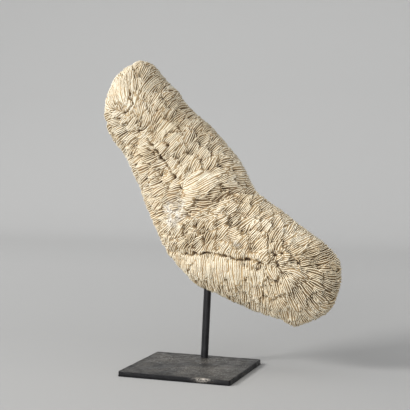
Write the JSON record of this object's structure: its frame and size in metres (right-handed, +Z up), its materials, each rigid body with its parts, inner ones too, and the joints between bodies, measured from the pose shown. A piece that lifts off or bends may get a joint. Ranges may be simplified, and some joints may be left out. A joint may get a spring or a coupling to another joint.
{
  "type": "stony coral skeleton on a stand",
  "caption": "Long bent skeleton of a stony tongue coral with ribbed septa on its upper face, held upright by a thin black steel rod on a flat rectangular plate.",
  "frame": {"origin": "centre of the base plate's underside", "axes": "+Z up; +X along the base plate's long side, towards the coral's toe; the coral's ribbed upper face looks towards -Y and the rod stands near the plate's +Y edge"},
  "size_m": [0.262, 0.1109, 0.3261],
  "materials": {
    "aragonite": "matt cream aragonite with brown dust between the septa",
    "blackened_steel": "satin black",
    "patinated_steel": "satin, mottled dark grey-brown patina"
  },
  "bodies": {
    "root": {"coral": "aragonite", "rod": "blackened_steel", "base_plate": "patinated_steel"}
  },
  "joints": []
}
